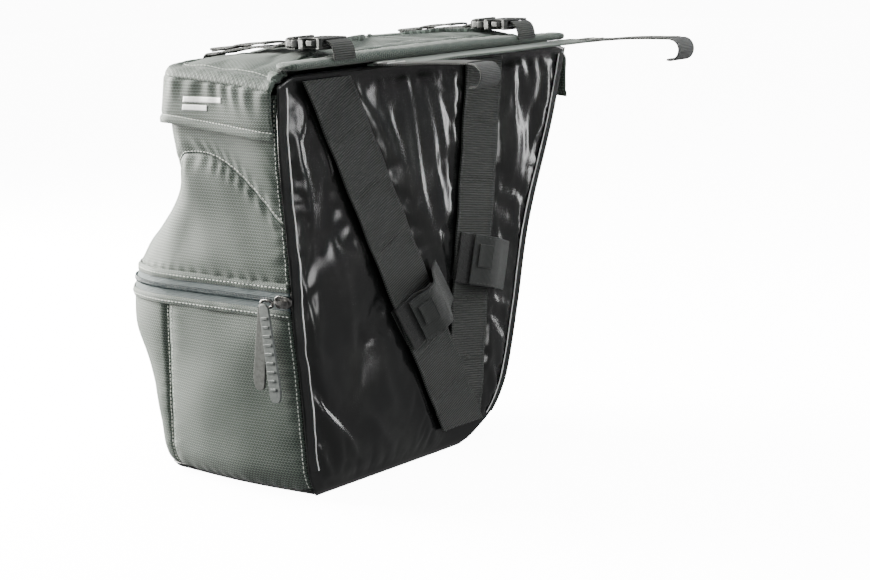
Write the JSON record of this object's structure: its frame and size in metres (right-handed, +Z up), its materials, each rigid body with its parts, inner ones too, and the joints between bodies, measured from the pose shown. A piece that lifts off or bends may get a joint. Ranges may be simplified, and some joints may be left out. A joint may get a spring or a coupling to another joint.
{
  "type": "pannier bag",
  "caption": "Bicycle pannier bag: black coated back with rack webbing and ties, grey fabric body, wrap-round zip pocket, strapped skirted lid and rack flap with rail straps.",
  "frame": {"origin": "a point on the underside of the flat base, below the main compartment", "axes": "+X out of the back panel, towards the rack; +Y along the bag towards its tapered end; +Z up"},
  "size_m": [0.3554, 0.3964, 0.37],
  "materials": {
    "body_fabric": "matt woven grey-green technical fabric with a fine dashed rib",
    "lining": "matt grey lining cloth",
    "black_coated_fabric": "glossy black coated tarpaulin with a fine scrim weave",
    "stiffener_board": "plain black plastic board",
    "webbing": "dark grey-green ribbed webbing",
    "loop_tape": "black fuzzy loop tape",
    "hook_tape": "grey hook tape with fine ribs",
    "zip_tape": "blue-grey zip tape and coil",
    "zip_metal": "dark nickel",
    "zip_pull_leather": "grey moulded puller strip",
    "buckle_plastic": "dark grey moulded plastic, satin"
  },
  "bodies": {
    "bag": {"back_panel": "black_coated_fabric", "base_board": "stiffener_board", "base_panel": "black_coated_fabric", "inner_wall": "lining", "pocket_end_far": "body_fabric", "pocket_end_near": "body_fabric", "pocket_front": "body_fabric", "pocket_roof": "body_fabric", "rack_flap_seam": "body_fabric", "seam_strip_far": "black_coated_fabric", "seam_strip_near": "black_coated_fabric", "stiffener_board": "stiffener_board", "strap_far_anchor": "webbing", "strap_near_anchor": "webbing", "tie_diagonal_anchor": "loop_tape", "tie_diagonal_loop_leaf": "loop_tape", "tie_vertical_anchor": "loop_tape", "tie_vertical_loop_leaf": "loop_tape", "upper_body": "body_fabric", "webbing_diagonal": "webbing", "webbing_vertical": "webbing", "zip_coil": "zip_tape", "zip_tape_lower": "zip_tape", "zip_tape_upper": "zip_tape"},
    "lid": {"lid_skirt": "body_fabric", "lid_top": "body_fabric", "lid_band": "body_fabric", "strap_near_rack_half": "webbing", "buckle_near_female": "buckle_plastic", "strap_far_rack_half": "webbing", "buckle_far_female": "buckle_plastic"},
    "buckle_near_insert": {"buckle_near_male": "buckle_plastic", "buckle_near_guide": "buckle_plastic", "strap_near_lid_half": "webbing", "strap_near_tail": "webbing"},
    "buckle_near_left_prong": {"buckle_near_prong_left": "buckle_plastic"},
    "buckle_near_right_prong": {"buckle_near_prong_right": "buckle_plastic"},
    "buckle_far_insert": {"buckle_far_male": "buckle_plastic", "buckle_far_guide": "buckle_plastic", "strap_far_lid_half": "webbing", "strap_far_tail": "webbing"},
    "buckle_far_left_prong": {"buckle_far_prong_left": "buckle_plastic"},
    "buckle_far_right_prong": {"buckle_far_prong_right": "buckle_plastic"},
    "zip_runner": {"zip_slider": "zip_metal", "zip_puller_link": "zip_metal"},
    "zip_pull": {"zip_pull_front": "zip_pull_leather", "zip_pull_back": "zip_pull_leather"},
    "tie_vertical_flap": {"tie_vertical_hook_leaf": "hook_tape", "tie_vertical_tongue": "hook_tape"},
    "tie_diagonal_flap": {"tie_diagonal_hook_leaf": "hook_tape", "tie_diagonal_tongue": "hook_tape"},
    "flap": {"rack_flap": "body_fabric", "rack_strap_near": "webbing", "rack_strap_far": "webbing"},
    "rail_wrap_near": {"rack_strap_near_wrap": "hook_tape"},
    "rail_wrap_far": {"rack_strap_far_wrap": "hook_tape"}
  },
  "joints": [
    {"name": "lid_open", "type": "hinge", "parent": "bag", "child": "lid", "pos_m": [0.072, 0, 0.348], "axis": [0, 1, 0], "range_deg": [0, 105]},
    {"name": "buckle_near_release", "type": "slide", "parent": "lid", "child": "buckle_near_insert", "axis": [-1, 0, 0], "range_m": [0, 0.024]},
    {"name": "buckle_near_left_squeeze", "type": "hinge", "parent": "buckle_near_insert", "child": "buckle_near_left_prong", "pos_m": [0.035, -0.1175, 0.365], "axis": [0, 0, 1], "range_deg": [0, 6], "stiffness_Nm_per_rad": 0.05},
    {"name": "buckle_near_right_squeeze", "type": "hinge", "parent": "buckle_near_insert", "child": "buckle_near_right_prong", "pos_m": [0.035, -0.0965, 0.365], "axis": [0, 0, -1], "range_deg": [0, 6], "stiffness_Nm_per_rad": 0.05},
    {"name": "buckle_far_release", "type": "slide", "parent": "lid", "child": "buckle_far_insert", "axis": [-1, 0, 0], "range_m": [0, 0.024]},
    {"name": "buckle_far_left_squeeze", "type": "hinge", "parent": "buckle_far_insert", "child": "buckle_far_left_prong", "pos_m": [0.035, 0.1245, 0.365], "axis": [0, 0, 1], "range_deg": [0, 6], "stiffness_Nm_per_rad": 0.05},
    {"name": "buckle_far_right_squeeze", "type": "hinge", "parent": "buckle_far_insert", "child": "buckle_far_right_prong", "pos_m": [0.035, 0.1455, 0.365], "axis": [0, 0, -1], "range_deg": [0, 6], "stiffness_Nm_per_rad": 0.05},
    {"name": "zip_run", "type": "slide", "parent": "bag", "child": "zip_runner", "axis": [-1, 0, 0], "range_m": [0, 0.09]},
    {"name": "zip_pull_swing", "type": "hinge", "parent": "zip_runner", "child": "zip_pull", "pos_m": [0.037, -0.177, 0.162], "axis": [-1, 0, 0], "range_deg": [0, 145]},
    {"name": "tie_vertical_peel", "type": "hinge", "parent": "bag", "child": "tie_vertical_flap", "pos_m": [0.0635, 0.10277, 0.15268], "axis": [0, 0.2588, 0.9659], "range_deg": [0, 130]},
    {"name": "tie_diagonal_peel", "type": "hinge", "parent": "bag", "child": "tie_diagonal_flap", "pos_m": [0.0657, 0.01244, 0.1549], "axis": [0, -0.5299, 0.848], "range_deg": [0, 112]},
    {"name": "rack_flap_fold", "type": "hinge", "parent": "bag", "child": "flap", "pos_m": [0.0674, 0, 0.3434], "axis": [0, 1, 0], "range_deg": [0, 80]},
    {"name": "rail_wrap_near_peel", "type": "hinge", "parent": "flap", "child": "rail_wrap_near", "pos_m": [0.183, -0.0815, 0.3496], "axis": [0, -1, 0], "range_deg": [0, 100]},
    {"name": "rail_wrap_far_peel", "type": "hinge", "parent": "flap", "child": "rail_wrap_far", "pos_m": [0.183, 0.1985, 0.3496], "axis": [0, -1, 0], "range_deg": [0, 100]}
  ],
  "couplings": [
    {"joint": "buckle_near_right_squeeze", "follows": "buckle_near_left_squeeze", "ratio": 1},
    {"joint": "buckle_far_right_squeeze", "follows": "buckle_far_left_squeeze", "ratio": 1}
  ]
}
